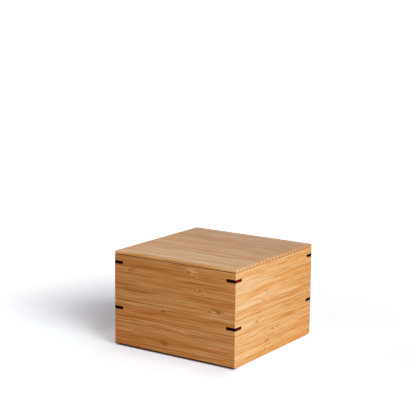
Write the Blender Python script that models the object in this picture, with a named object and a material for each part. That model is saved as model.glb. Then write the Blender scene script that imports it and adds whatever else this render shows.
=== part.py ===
"""Two-tier lunch box of laminated bamboo with a flat lid.

Each tier is four mitred walls glued round a base board, with a dark wooden key let into
every corner. The base board stands a little way out below the walls and drops into the
rebated rim of the tier under it. The lid's plug sits in the upper rim the same way.
Sizes are in metres and +Z is up. The origin is the middle of the underside, and the
front wall faces -Y.
"""

import math

import bmesh
import bpy
from mathutils import Matrix, Vector

# Sizes of the box and its boards
BOX_SIDE = 0.1200
WALL_HEIGHT = 0.0385
WALL_THICKNESS = 0.0050
BASE_THICKNESS = 0.0035
LID_EDGE = 0.0024

# How far the lid stands out past the walls all round
LID_OVERHANG = 0.0002

# How far the base board and the lid's plug stand out below what carries them
BASE_DROP = 0.0014
PLUG_DROP = 0.0015

# Wall left standing outside the base board's rebate
FOOT_LIP = 0.0025

# Corner keys: their thickness, their middle's depth below the rim, and the wood that
# is left between a key's kerf and the inner corner, along the corner's diagonal
KEY_THICKNESS = 0.0026
KEY_BELOW_RIM = 0.0068
KERF_WEB = 0.0006

# Round edges: upright corners, the lid's upper edges, rims and feet, and the outer foot
# of the lower tier, which is eased more because it stands on the table
CORNER_ROUND = 0.0005
LID_ROUND = 0.0010
RIM_ROUND = 0.0004
FOOT_ROUND = 0.0011
ROUND_SEGMENTS = 3

# Clearances: along glued joints, under a seated tier or lid, and beside and below what
# nests in a rim
GLUE_GAP = 0.0003
SEAT_GAP = 0.0003
NEST_CLEARANCE = 0.0004
NEST_HEADROOM = 0.0003

# What follows from these, in a tier's own frame with its underside at zero
TIER_NAMES = ("lower", "upper")
TIER_PITCH = WALL_HEIGHT + SEAT_GAP
WALL_TOP = BASE_DROP + WALL_HEIGHT
KEY_LEVEL = WALL_TOP - KEY_BELOW_RIM
COMPARTMENT_SIDE = BOX_SIDE - 2 * WALL_THICKNESS
LID_SIDE = BOX_SIDE + 2 * LID_OVERHANG
FOOT_OPENING = BOX_SIDE - 2 * FOOT_LIP
BASE_SIDE = FOOT_OPENING - 2 * GLUE_GAP
RIM_OPENING = BASE_SIDE + 2 * NEST_CLEARANCE
RIM_REBATE_DEPTH = max(BASE_DROP, PLUG_DROP) + NEST_HEADROOM
PLUG_SIDE = RIM_OPENING - 2 * NEST_CLEARANCE
KERF_DEPTH = WALL_THICKNESS * math.sqrt(2) - KERF_WEB
KERF_HEIGHT = KEY_THICKNESS + 2 * GLUE_GAP

# Cutters that pass right through a wall start and end half its height past it
CUT_LOW = BASE_DROP - WALL_HEIGHT / 2
CUT_HIGH = WALL_TOP + WALL_HEIGHT / 2

# Turns about +Z that carry the front wall and the front right key to their places
WALL_TURNS = {"front": 0, "right": 90, "back": 180, "left": 270}
KEY_TURNS = {"front_right": 0, "back_right": 90, "back_left": 180, "front_left": 270}

# Finishes as a linear colour and a roughness
WALL_BAMBOO = ((0.66, 0.40, 0.18), 0.50)
BASE_BAMBOO = ((0.62, 0.39, 0.19), 0.55)
LID_BAMBOO = ((0.64, 0.42, 0.22), 0.48)
KEY_WOOD = ((0.050, 0.013, 0.010), 0.42)


def clear_scene():
    """Removes every object that the file opened with."""
    for obj in list(bpy.data.objects):
        bpy.data.objects.remove(obj)


def new_collection(name):
    """A collection of this name, linked to the scene."""
    collection = bpy.data.collections.new(name)
    bpy.context.scene.collection.children.link(collection)
    return collection


def new_material(name, finish):
    """A Principled material from a finish."""
    colour, roughness = finish
    result = bpy.data.materials.new(name)
    result.use_nodes = True
    result.diffuse_color = (*colour, 1.0)
    shader = result.node_tree.nodes["Principled BSDF"]
    shader.inputs["Base Color"].default_value = (*colour, 1.0)
    shader.inputs["Roughness"].default_value = roughness
    shader.inputs["Metallic"].default_value = 0.0
    return result


def is_upright(edge):
    """Whether an edge runs up and down."""
    low, high = (vert.co for vert in edge.verts)
    return abs(low.z - high.z) > max(abs(low.x - high.x), abs(low.y - high.y))


def block(side, low, high, turn=0.0, centre=(0.0, 0.0)):
    """A square block from low to high, turned about +Z round its plan's centre."""
    place = Matrix.Translation((centre[0], centre[1], (low + high) / 2))
    size = Matrix.Diagonal((side, side, high - low, 1.0))
    shape = bmesh.new()
    turned = Matrix.Rotation(math.radians(turn), 4, "Z")
    bmesh.ops.create_cube(shape, size=1.0, matrix=place @ turned @ size)
    return shape


def round_off(shape, edges, width):
    """Rounds the chosen edges."""
    bmesh.ops.bevel(
        shape,
        geom=edges,
        offset=width,
        offset_type="OFFSET",
        segments=ROUND_SEGMENTS,
        profile=0.5,
        affect="EDGES",
        clamp_overlap=True,
    )


def as_mesh(shape, name):
    """Turns a shape into a mesh and frees it."""
    mesh = bpy.data.meshes.new(name)
    bmesh.ops.recalc_face_normals(shape, faces=shape.faces)
    shape.to_mesh(mesh)
    shape.free()
    return mesh


def new_cutter(collection, name, shape):
    """A hidden object that shapes others."""
    obj = bpy.data.objects.new(name, as_mesh(shape, name))
    obj.hide_render = True
    obj.display_type = "WIRE"
    collection.objects.link(obj)
    return obj


def combine(mesh, steps):
    """The mesh after each (cutter, operation) step in turn, its round edges smooth."""
    obj = bpy.data.objects.new(mesh.name, mesh)
    bpy.context.scene.collection.objects.link(obj)
    for cutter, operation in steps:
        boolean = obj.modifiers.new(cutter.name, "BOOLEAN")
        boolean.operation = operation
        boolean.solver = "EXACT"
        boolean.object = cutter
    graph = bpy.context.evaluated_depsgraph_get()
    result = bpy.data.meshes.new_from_object(obj.evaluated_get(graph))
    result.name = mesh.name
    result.shade_smooth()
    result.set_sharp_from_angle(angle=math.radians(35))
    bpy.data.objects.remove(obj)
    return result


def tier_envelope(name):
    """The outer form of one tier's walls, solid, with its corners and rims rounded."""
    shape = block(BOX_SIDE, BASE_DROP, WALL_TOP)
    round_off(shape, [edge for edge in shape.edges if is_upright(edge)], CORNER_ROUND)
    rims = [edge for edge in shape.edges if not is_upright(edge)]
    round_off(shape, rims, min(RIM_ROUND, CORNER_ROUND / 2))
    return as_mesh(shape, name)


def eased_foot():
    """A block that keeps a tier's outer form but for a well rounded outer foot."""
    shape = block(BOX_SIDE, BASE_DROP, CUT_HIGH)
    foot = [edge for edge in shape.edges if max(vert.co.z for vert in edge.verts) < WALL_TOP / 2]
    round_off(shape, foot, FOOT_ROUND)
    return shape


def corner_plate(depth, height, turn=0.0):
    """A flat plate across the front right corner, reaching in by depth on the diagonal.

    It lies at the keys' level and runs out past the corner, so that what it shares with
    the tier's outer form is a three-cornered slip, flush with both faces. The turn
    carries it to another corner.
    """
    side = BOX_SIDE / 2
    middle = BOX_SIDE / math.sqrt(2) - depth + side / 2
    centre = Vector((1.0, -1.0)).normalized() * middle
    shape = block(side, KEY_LEVEL - height / 2, KEY_LEVEL + height / 2, 45, centre)
    shape.transform(Matrix.Rotation(math.radians(turn), 4, "Z"))
    return shape


def mitre_wedge():
    """The quarter of the plan that the front wall may fill, up to its mitre joints.

    It is a block turned by 45 degrees with one upright edge near the box's middle,
    moved forward so that each joint keeps half of its glue gap.
    """
    forward = (GLUE_GAP + BOX_SIDE) / math.sqrt(2)
    return block(BOX_SIDE, CUT_LOW, CUT_HIGH, 45, (0.0, -forward))


def wall_steps(cutters):
    """The cuts that make a front wall of a tier's outer form.

    They rebate its rim and foot, mitre its ends and saw half a kerf at each end.
    """
    shapes = {
        "cut_compartment": block(COMPARTMENT_SIDE, CUT_LOW, CUT_HIGH),
        "cut_rim_rebate": block(RIM_OPENING, WALL_TOP - RIM_REBATE_DEPTH, CUT_HIGH),
        "cut_foot_rebate": block(FOOT_OPENING, CUT_LOW, BASE_THICKNESS + GLUE_GAP),
    }
    for corner in ("front_right", "front_left"):
        shapes["cut_kerf_" + corner] = corner_plate(
            KERF_DEPTH, KERF_HEIGHT, KEY_TURNS[corner]
        )
    steps = [
        (new_cutter(cutters, name, shape), "DIFFERENCE")
        for name, shape in shapes.items()
    ]
    steps.append((new_cutter(cutters, "keep_front_wall", mitre_wedge()), "INTERSECT"))
    return steps


def key_mesh(cutters):
    """The front right key: a three-cornered slip, flush with both outer faces."""
    plate = corner_plate(KERF_DEPTH - GLUE_GAP, KEY_THICKNESS)
    keep = new_cutter(cutters, "keep_corner_key", plate)
    return combine(tier_envelope("corner_key"), [(keep, "INTERSECT")])


def base_mesh():
    """The base board, with its underside at zero."""
    shape = block(BASE_SIDE, 0.0, BASE_THICKNESS)
    round_off(shape, list(shape.edges), RIM_ROUND)
    return combine(as_mesh(shape, "base_board"), [])


def lid_mesh(cutters):
    """The lid, with its edge's underside at zero and its plug below."""
    shape = block(LID_SIDE, 0.0, LID_EDGE)
    rounded = [
        edge
        for edge in shape.edges
        if is_upright(edge) or edge.verts[0].co.z > LID_EDGE / 2
    ]
    round_off(shape, rounded, min(LID_ROUND, LID_EDGE / 2))
    plug = new_cutter(
        cutters, "join_plug", block(PLUG_SIDE, -PLUG_DROP, LID_EDGE / 2)
    )
    return combine(as_mesh(shape, "lid"), [(plug, "UNION")])


def new_carrier(collection, name, height, parent):
    """An empty on the lifting axis, which carries a tier or the lid."""
    empty = bpy.data.objects.new(name, None)
    empty.empty_display_size = BOX_SIDE / 4
    empty.location.z = height
    empty.parent = parent
    collection.objects.link(empty)
    return empty


def place(collection, name, mesh, parent, turn=0.0):
    """A piece with this mesh, turned about +Z under its parent."""
    piece = bpy.data.objects.new(name, mesh)
    piece.rotation_euler.z = math.radians(turn)
    piece.parent = parent
    collection.objects.link(piece)


def place_tier(collection, name, meshes, carrier):
    """The walls, base board and keys of one tier."""
    for side, turn in WALL_TURNS.items():
        place(collection, f"{name}_wall_{side}", meshes[f"{name}_wall"], carrier, turn)
    place(collection, f"{name}_base", meshes["base"], carrier)
    for corner, turn in KEY_TURNS.items():
        place(collection, f"{name}_key_{corner}", meshes["key"], carrier, turn)


def build_lunch_box():
    """Makes each mesh once, then stacks the tiers and the lid."""
    clear_scene()
    cutters = new_collection("cutters")
    collection = new_collection("two_tier_lunch_box")
    meshes = {
        "base": base_mesh(),
        "key": key_mesh(cutters),
        "lid": lid_mesh(cutters),
    }
    cuts = wall_steps(cutters)
    easing = [(new_cutter(cutters, "ease_foot", eased_foot()), "INTERSECT")]
    wall_bamboo = new_material("wall_bamboo", WALL_BAMBOO)
    for name, steps in {"lower_wall": easing + cuts, "upper_wall": cuts}.items():
        meshes[name] = combine(tier_envelope(name), steps)
        meshes[name].materials.append(wall_bamboo)
    meshes["base"].materials.append(new_material("base_bamboo", BASE_BAMBOO))
    meshes["key"].materials.append(new_material("key_wood", KEY_WOOD))
    meshes["lid"].materials.append(new_material("lid_bamboo", LID_BAMBOO))
    below = None
    for name in TIER_NAMES:
        rise = TIER_PITCH if below else 0.0
        below = new_carrier(collection, f"{name}_tier", rise, below)
        place_tier(collection, name, meshes, below)
    lid_carrier = new_carrier(collection, "lid_carrier", WALL_TOP + SEAT_GAP, below)
    place(collection, "lid", meshes["lid"], lid_carrier)


build_lunch_box()
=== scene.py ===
"""Dressed scene of a two-tier lunch box of laminated bamboo.

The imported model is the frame: every piece made here stands for one or more of its nodes
and rides on the same body. Lengths are in metres, and in millimetres inside materials.
"""

import logging
import math
from collections.abc import Callable, Iterable
from dataclasses import dataclass, field, replace
from enum import Enum

import bmesh
import bpy
from bpy.types import ID, Material, Mesh, Node, NodeSocket, NodeTree, Object
from mathutils import Euler, Matrix, Vector


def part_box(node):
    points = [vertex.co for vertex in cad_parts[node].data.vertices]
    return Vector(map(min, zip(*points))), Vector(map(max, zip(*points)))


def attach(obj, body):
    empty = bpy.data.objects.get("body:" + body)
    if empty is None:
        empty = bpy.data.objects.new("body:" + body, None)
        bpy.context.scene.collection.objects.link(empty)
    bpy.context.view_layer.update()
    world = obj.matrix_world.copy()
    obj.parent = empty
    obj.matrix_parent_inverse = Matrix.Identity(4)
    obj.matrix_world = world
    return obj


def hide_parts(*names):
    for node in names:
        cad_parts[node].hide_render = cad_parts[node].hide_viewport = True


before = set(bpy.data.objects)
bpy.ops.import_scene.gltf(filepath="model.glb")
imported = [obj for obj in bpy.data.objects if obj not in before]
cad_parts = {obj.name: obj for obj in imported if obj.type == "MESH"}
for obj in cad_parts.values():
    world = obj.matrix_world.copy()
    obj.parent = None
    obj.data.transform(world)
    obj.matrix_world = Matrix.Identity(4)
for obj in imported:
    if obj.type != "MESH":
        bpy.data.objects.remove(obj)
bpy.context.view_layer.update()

log = logging.getLogger("lunch_box")

Colour = tuple[float, float, float]
Pair = tuple[float, float]
Triple = tuple[float, float, float]

MM = 0.001
TO_MM = 1000.0
QUARTER = math.pi / 2
SHARP_ANGLE = math.radians(40.0)
WELD = 2e-6
HAIRLINE = 0.00003
ROUND_STEPS = 4
TOP_ROUND_STEPS = 6
KEY_ROUND_STEPS = 8


class TierName(Enum):
    """The two tiers, from the table up."""

    LOWER = "lower"
    UPPER = "upper"


class Side(Enum):
    """The walls, each by its quarter turns from the front wall's place."""

    FRONT = 0
    RIGHT = 1
    BACK = 2
    LEFT = 3

    @property
    def label(self) -> str:
        """The word that the node's name ends with."""
        return self.name.lower()

    @property
    def turn(self) -> float:
        """The turn about +Z, in radians, that carries the front wall here."""
        return self.value * QUARTER


class GrainAxis(Enum):
    """How a board lies: the rotation that carries its own frame to grain coordinates.

    In grain coordinates X runs along the fibres, Y across the glued strips and Z through
    the board's thickness.
    """

    UPRIGHT_ALONG_X = ((1, 0, 0), (0, 0, 1), (0, -1, 0))
    UPRIGHT_ALONG_Y = ((0, 1, 0), (0, 0, 1), (1, 0, 0))
    FLAT_ALONG_X = ((1, 0, 0), (0, 1, 0), (0, 0, 1))

    @property
    def turn(self) -> Euler:
        """The rotation as a Mapping node takes it."""
        return Matrix(self.value).to_euler("XYZ")


def reckons(operation: str) -> Callable[..., "Value"]:
    """A method that adds the Math node of one operation."""
    return lambda value, *others: value.reckon(operation, *others)


@dataclass(frozen=True, eq=False)
class Value:
    """A socket to reckon with: each sign adds a Math node, or Vector Math for a vector."""

    web: "NodeWeb"
    socket: NodeSocket

    def reckon(self, operation: str, *others: object) -> "Value":
        """Adds a Math node that takes this value first.

        Args:
            operation: The node's operation.
            others: Its further inputs.

        Returns:
            Its result.
        """
        vector = self.socket.type in ("VECTOR", "RGBA")
        kind = "ShaderNodeVectorMath" if vector else "ShaderNodeMath"
        out = "Value" if operation in ("LENGTH", "DOT_PRODUCT") else 0
        return self.web.add(kind, dict(enumerate((self, *others))), out, operation=operation)

    __add__ = reckons("ADD")
    __sub__ = reckons("SUBTRACT")
    __mul__ = reckons("MULTIPLY")
    __truediv__ = reckons("DIVIDE")
    __abs__ = reckons("ABSOLUTE")
    most = reckons("MAXIMUM")
    least = reckons("MINIMUM")
    over = reckons("GREATER_THAN")
    floor = reckons("FLOOR")
    fraction = reckons("FRACT")
    sign = reckons("SIGN")
    length = reckons("LENGTH")
    dot = reckons("DOT_PRODUCT")

    def held(self) -> "Value":
        """The value held between 0 and 1."""
        return self.web.add("ShaderNodeClamp", {0: self})

    def step(self, low: object, high: object) -> "Value":
        """A smooth step from 0 at low to 1 at high, whichever of the two is greater."""
        feeds = {0: self, 1: low, 2: high}
        return self.web.add("ShaderNodeMapRange", feeds, interpolation_type="SMOOTHSTEP")

    def split(self) -> list["Value"]:
        """The three parts of a vector."""
        return list(self.web.values(self.web.node("ShaderNodeSeparateXYZ", {0: self})).values())


class NodeWeb:
    """Adds nodes to one tree and joins them, in materials and Geometry Nodes alike."""

    def __init__(self, tree: NodeTree) -> None:
        """Works on this tree."""
        self.tree = tree

    def feed(self, socket: NodeSocket, value: object) -> None:
        """Feeds one input.

        Args:
            socket: The input.
            value: A value to link, or a plain one, a colour without its alpha.
        """
        if isinstance(value, Value):
            self.tree.links.new(value.socket, socket)
        elif socket.type == "RGBA":
            socket.default_value = (*value, 1.0)
        else:
            socket.default_value = value

    def feed_all(self, node: Node, feeds: dict) -> None:
        """Feeds a node's inputs, by name or number."""
        for name, value in feeds.items():
            self.feed(node.inputs[name], value)

    def node(self, kind: str, feeds: dict | None = None, **settings: object) -> Node:
        """Adds a node.

        Args:
            kind: The node's type.
            feeds: Its inputs by name or number, each a value to link or a plain one.
            settings: Its other properties.

        Returns:
            The node.
        """
        node = self.tree.nodes.new(kind)
        for name, value in settings.items():
            setattr(node, name, value)
        self.feed_all(node, feeds or {})
        return node

    def values(self, node: Node) -> dict[str, Value]:
        """What a node gives, by name."""
        return {socket.name: Value(self, socket) for socket in node.outputs if socket.name}

    def add(self, kind: str, feeds: dict | None = None, out: int | str = 0, **settings: object) -> Value:
        """Adds a node as the method node does, and hands back one of its outputs."""
        return Value(self, self.node(kind, feeds, **settings).outputs[out])

    def group(self, tree: NodeTree, feeds: dict) -> dict[str, Value]:
        """Places a shader group, and hands back what it gives by name."""
        return self.values(self.node("ShaderNodeGroup", feeds, node_tree=tree))

    def join(self, *parts: object) -> Value:
        """A vector from its three parts."""
        return self.add("ShaderNodeCombineXYZ", dict(enumerate(parts)))

    def noise(self, vector: Value, detail: float = 2.0) -> Value:
        """Smooth noise of one unit's scale, between 0 and 1."""
        return self.add("ShaderNodeTexNoise", {"Vector": vector, "Scale": 1.0, "Detail": detail}, "Fac")

    def ramp(self, value: Value, stops: tuple[tuple[float, Colour], ...]) -> Value:
        """A colour picked from a ramp.

        Args:
            value: The place on the ramp.
            stops: The ramp's places and colours, the first at 0 and the last at 1.

        Returns:
            The colour.
        """
        node = self.node("ShaderNodeValToRGB", {0: value})
        elements = node.color_ramp.elements
        for place, _ in stops[1:-1]:
            elements.new(place)
        for element, (place, colour) in zip(elements, stops):
            element.position = place
            element.color = (*colour, 1.0)
        return Value(self, node.outputs["Color"])

    def mix(self, factor: object, first: object, second: object, blend: str = "MIX") -> Value:
        """A mix of two colours."""
        feeds = {0: factor, 6: first, 7: second}
        return self.add("ShaderNodeMix", feeds, 2, data_type="RGBA", blend_type=blend)

    def weigh(self, terms: Iterable[tuple[Value, float]], start: float) -> Value:
        """A weighted sum, held between 0 and 1.

        Args:
            terms: The values, each with its weight.
            start: What the terms are added to.

        Returns:
            The sum.
        """
        total: object = start
        for value, weight in terms:
            total = value * weight + total
        return total.held()


class NodeGroup(NodeWeb):
    """The web of a node group, with what the group takes, in order, and its far end."""

    def __init__(self, name: str, takes: dict, gives: dict, kind: str = "ShaderNodeTree") -> None:
        """Starts a group.

        Args:
            name: The group's name.
            takes: The names of its inputs, by their kind of socket.
            gives: The names of its outputs, in the same way.
            kind: ShaderNodeTree or GeometryNodeTree.
        """
        super().__init__(bpy.data.node_groups.new(name, kind))
        for way, kinds in (("INPUT", takes), ("OUTPUT", gives)):
            for socket, labels in kinds.items():
                for label in labels:
                    self.tree.interface.new_socket(label, in_out=way, socket_type=f"NodeSocket{socket}")
        self.takes = list(self.values(self.node("NodeGroupInput")).values())
        self.end = self.node("NodeGroupOutput")

    def give(self, **values: Value) -> NodeTree:
        """Feeds the outputs and hands back the tree."""
        self.feed_all(self.end, values)
        return self.tree


@dataclass(frozen=True)
class StripWood:
    """How glued strips of bamboo are drawn, in millimetres along and across their fibres.

    Each layer of noise has a length, a width and a shift that keeps it apart from the
    others. The weights sum up layers, and the bounds are where a mask begins and is full.
    """

    sway: Triple = (55.0, 12.0, 0.0)
    broad: Triple = (140.0, 4.0, 3.7)
    middle: Triple = (42.0, 0.75, 11.3)
    fine: Triple = (28.0, 0.33, 23.9)
    vein: Triple = (75.0, 0.45, 41.1)
    hue: Triple = (160.0, 5.0, 57.3)
    wander: float = 0.35
    strips_in_lot: float = 37.0
    strip_shift: float = 400.0
    glue_width: float = 0.30
    tone_weights: tuple[float, ...] = (0.30, 0.9, 1.7, 2.5, 0.20)
    tone_start: float = -2.35
    relief_weights: Triple = (0.5, 0.9, -0.4)
    relief_start: float = -0.1
    vein_bounds: Pair = (0.60, 0.72)
    skin_bounds: Pair = (0.15, 0.75)
    hue_bounds: Pair = (0.33, 0.67)

    def layer(self, web: NodeWeb, along: Value, across: Value, through: Value, size: Triple) -> Value:
        """Noise that is long along the fibres and narrow across them."""
        length, width, shift = size
        return web.noise(web.join(along * (1 / length) + shift, across / width, through / width))

    def group(self) -> NodeTree:
        """The shader group: tone, dark veins, glue lines and relief of glued strips.

        Returns:
            The group.
        """
        web = NodeGroup(
            "bamboo_strips",
            {"Vector": ["Grain"], "Float": ["Strip Width", "Lot", "Length"]},
            {"Float": ["Tone", "Vein", "Glue", "Edge", "Skin", "Hue", "Relief"]},
        )
        grain, width, lot, length = web.takes
        along, across, through = grain.split()
        count = across / width
        within = count.fraction()
        number = lot * self.strips_in_lot + count.floor()
        chance = web.add("ShaderNodeTexWhiteNoise", {"W": number}, "Color", noise_dimensions="1D")
        moved, turned, toned = chance.split()
        bend = self.layer(web, along, across, through, self.sway) * self.wander + across
        start = moved * self.strip_shift + along / length
        sizes = (self.broad, self.middle, self.fine, self.vein, self.hue)
        broad, middle, fine, vein, hue = (self.layer(web, start, bend, through, size) for size in sizes)
        other = within * -1.0 + 1.0
        skin = web.add("ShaderNodeMix", {0: turned.over(0.5), 2: within, 3: other})
        to_glue = within.least(other) * width
        glue = to_glue.step(self.glue_width, 0.0)
        return web.give(
            Tone=web.weigh(zip((toned, broad, middle, fine, skin), self.tone_weights), self.tone_start),
            Vein=vein.step(*self.vein_bounds) * skin.step(*self.skin_bounds),
            Glue=glue,
            Edge=to_glue,
            Skin=skin,
            Hue=hue.step(*self.hue_bounds),
            Relief=web.weigh(zip((middle, fine, glue), self.relief_weights), self.relief_start),
        )


@dataclass(frozen=True)
class Knuckle:
    """A node of the bamboo cane, where its fibres swell and darken, on one strip.

    Its place and its reach are in grain millimetres. The pale and the fleck are how much
    its two masks show, the knot is how brown its core is, and the strength scales all.
    """

    along: float
    across: float
    strength: float = 1.0
    length: float = 7.4
    width: float = 3.3
    pale: float = 0.80
    fleck: float = 0.80
    knot: float = 0.0
    brown: Colour = (0.26, 0.062, 0.011)

    @staticmethod
    def group() -> NodeTree:
        """The shader group: a pale swelling with brown flecks at its rims.

        Returns:
            The group.
        """
        takes = {"Vector": ["Grain", "Middle", "Reach"], "Float": ["Knot"]}
        web = NodeGroup("bamboo_knuckle", takes, {"Float": ["Pale", "Fleck"]})
        flat = (1.0, 1.0, 0.0)
        wobble_scale, wobble_share = (0.35, 0.8, 0.2), 0.9
        curl_scale = (0.22, 0.85, 0.6)
        rim, core_rim = (1.45, 0.85), (1.15, 0.50)
        pale_bounds, fleck_bounds = (0.45, 0.57), (0.45, 0.37)
        grain, middle, reach, knot = web.takes
        wobble = web.noise(grain * wobble_scale, 1.0)
        distance = wobble * wobble_share + ((grain - middle) * flat / reach).length()
        near = distance.step(*rim)
        curl = web.noise(grain * curl_scale)
        core = distance.step(*core_rim) * knot
        return web.give(
            Pale=near * curl.step(*pale_bounds),
            Fleck=(near * curl.step(*fleck_bounds)).most(core),
        )

    def paint(self, web: NodeWeb, tree: NodeTree, grain: Value, pale: Colour, colour: Value) -> Value:
        """Lays the knuckle over a colour.

        Args:
            web: The material's web.
            tree: The knuckle's group.
            grain: Grain coordinates in millimetres.
            pale: The colour of the swelling.
            colour: The colour so far.

        Returns:
            The colour with the knuckle.
        """
        middle = (self.along, self.across, 0.0)
        reach = (self.length, self.width, 1.0)
        masks = web.group(tree, {"Grain": grain, "Middle": middle, "Reach": reach, "Knot": self.knot})
        colour = web.mix(masks["Pale"] * (self.pale * self.strength), colour, pale)
        return web.mix(masks["Fleck"] * (self.fleck * self.strength), colour, self.brown)


BROWN = Knuckle.brown
TOASTED = (0.43, 0.135, 0.024)
BLOND = (0.80, 0.44, 0.20)


def knots(brown: Colour, *rows: tuple[float, ...]) -> tuple[Knuckle, ...]:
    """Brown cores, each given as its place, strength, length, width and pale share."""
    return tuple(Knuckle(*row, knot=1.0, brown=brown) for row in rows)


def eased_edge_group() -> NodeTree:
    """The shader group that finds the eased edges of a block round the origin.

    Returns:
        A group with Position and Half Size in millimetres and Width, which gives Wear.
    """
    takes = {"Vector": ["Position", "Half Size"], "Float": ["Width"]}
    web = NodeGroup("eased_edges", takes, {"Float": ["Wear"]})
    scale, swing, narrowest = (0.3, 0.3, 0.3), 0.9, 0.5
    position, half, width = web.takes
    first, second, third = (half - abs(position)).split()
    next_least = first.least(second).most(first.most(second).least(third))
    uneven = web.noise(position * scale) * swing + narrowest
    return web.give(Wear=(next_least / (width * uneven)).step(1.0, 0.0))


def handled_group() -> NodeTree:
    """The shader group that varies a varnish's roughness where hands have polished it.

    Returns:
        A group with Position in millimetres and Even, the mean roughness, which gives
        Roughness.
    """
    takes = {"Vector": ["Position"], "Float": ["Even"]}
    web = NodeGroup("handled_varnish", takes, {"Float": ["Roughness"]})
    scale, swing, detail = (0.04, 0.04, 0.04), 0.16, 3.0
    position, even = web.takes
    return web.give(Roughness=even + (web.noise(position * scale, detail) * swing - swing / 2))


def edge_band_group() -> NodeTree:
    """The shader group that marks a line along one edge of a board.

    Returns:
        A group with Depth, the way in from the edge in millimetres, Reach, Core and
        Share, which gives Mask.
    """
    web = NodeGroup("edge_band", {"Float": ["Depth", "Reach", "Core", "Share"]}, {"Float": ["Mask"]})
    depth, reach, core, share = web.takes
    return web.give(Mask=depth.step(reach, core * reach) * share)


def end_grain_group() -> NodeTree:
    """The shader group for sawn fibre ends: pale pith, dark skin side and small dark dots.

    Returns:
        A group with Grain and Place in millimetres and the strips' Skin and Edge, which
        gives Tone.
    """
    takes = {"Vector": ["Grain", "Place"], "Float": ["Skin", "Edge"]}
    web = NodeGroup("end_grain", takes, {"Float": ["Tone"]})
    fibre_scale, dot_bounds, thick_bounds = (0.02, 2.2, 2.2), (0.5, 0.15), (0.0, 0.9)
    ridge_bounds, ridge_drift, ridge_depth = (1.40, 0.40), 0.0050, 0.78
    weights, start = (1.0, 0.12, 0.15), 0.25
    grain, place, skin, edge = web.takes
    cells = web.add("ShaderNodeTexVoronoi", {"Vector": grain * fibre_scale, "Scale": 1.0}, "Distance")
    dots = cells.step(*dot_bounds) * skin.step(*thick_bounds)
    ridge = edge.step(*ridge_bounds) * (place.split()[1] * ridge_drift + ridge_depth)
    return web.give(Tone=web.weigh(zip((ridge, dots, skin), weights), start))


def key_figure_group() -> NodeTree:
    """The shader group for the keys' hardwood: its figure, pores and red heart.

    Returns:
        A group with Position, Heart Middle and Heart Reach in millimetres, which gives
        the masks Brown, Pores and Heart.
    """
    takes = {"Vector": ["Position"], "Float": ["Heart Middle", "Heart Reach"]}
    web = NodeGroup("key_figure", takes, {"Float": ["Brown", "Pores", "Heart"]})
    figure_scale, figure_detail, figure_bounds = (0.25, 0.25, 1.9), 3.0, (0.35, 0.7)
    pore_scale, pore_share, clear_share = (0.9, 0.9, 5.0), 0.6, 0.65
    outwards, heart_fade = (1.0, 1.0, 0.0), 1.2
    spot, middle, reach = web.takes
    figure = web.noise(spot * figure_scale, figure_detail)
    pores = web.noise(spot * pore_scale)
    away = abs(spot.dot(outwards) - middle)
    heart = away.step(reach, reach - heart_fade) * (pores * pore_share + clear_share)
    return web.give(Brown=figure.step(*figure_bounds), Pores=pores, Heart=heart.held())


@dataclass
class FinishShop:
    """Builds the shared shader groups once and hands them to every finish."""

    strips: NodeTree = field(default_factory=StripWood().group)
    knuckle: NodeTree = field(default_factory=Knuckle.group)
    edges: NodeTree = field(default_factory=eased_edge_group)
    handled: NodeTree = field(default_factory=handled_group)
    band: NodeTree = field(default_factory=edge_band_group)
    end_grain: NodeTree = field(default_factory=end_grain_group)
    key_figure: NodeTree = field(default_factory=key_figure_group)


def new_material(name: str) -> tuple[Material, NodeWeb]:
    """A material and its web, with Blender's own shader in it.

    Args:
        name: The material's name.

    Returns:
        The material, and the web of its nodes.
    """
    material = bpy.data.materials.new(name)
    material.use_nodes = True
    return material, NodeWeb(material.node_tree)


def in_millimetres(web: NodeWeb, shift: Iterable[float], turn: Euler = Euler()) -> Value:
    """Object coordinates in millimetres.

    Args:
        web: The material's web.
        shift: What is added to them, once they are turned.
        turn: How they are turned.

    Returns:
        The coordinates.
    """
    place = web.add("ShaderNodeTexCoord", out="Object")
    feeds = {"Vector": place, "Location": shift, "Rotation": turn, "Scale": (TO_MM, TO_MM, TO_MM)}
    return web.add("ShaderNodeMapping", feeds)


@dataclass(frozen=True)
class Band:
    """A line of another colour along a board's foot or rim.

    Most bands here are painted shade, for the gap under a foot, the parting gaps and downward rounds. The
    reach is in millimetres, and the core is the part of it that has the full share.
    """

    reach: float
    colour: Colour = (0.50, 0.18, 0.006)
    share: float = 0.6
    core: float = 0.2

    def paint(self, web: NodeWeb, tree: NodeTree, depth: Value, colour: Value) -> Value:
        """Lays the band over a colour, at a depth in from the edge in millimetres."""
        feeds = {"Depth": depth, "Reach": self.reach, "Core": self.core, "Share": self.share}
        return web.mix(web.group(tree, feeds)["Mask"], colour, self.colour)


# Painted shade: a near-black band for the shadow in the gap under the walls' foot and on the base board's
# inset edge.
PAINTED_FOOT_SHADE = Band(0.8, (0.022, 0.0035, 0.0015), 1.0, 0.75)


@dataclass(frozen=True)
class Look:
    """How a board's wood differs from plain stock.

    The length stretches its streaks, and the lines are how much of its veins and glue
    shows. The drift is a change of tone for each millimetre from the board's middle, and
    the shade is how much darker the wood is painted for each; both paint gradients of
    light. The depth is how much darker a dark tone is than its hue alone makes it. The
    wear is how far its eased edges, of the wear_width, turn to the
    worn colour: edge wear, and a painted highlight where a round catches the light.
    The foot and the rim may each have a band, most of them painted shade.
    """

    tint: Colour = (1.0, 1.0, 1.0)
    contrast: float = 1.0
    length: float = 1.0
    drift: Triple = (0.0, 0.0, 0.0)
    shade: Triple = (0.0, 0.0, 0.0)
    lines: float = 1.0
    depth: float = 0.0
    wear: float = 0.35
    wear_width: float = 0.55
    worn: Colour = (0.93, 0.56, 0.25)
    foot: Band | None = None
    rim: Band | None = None


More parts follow.
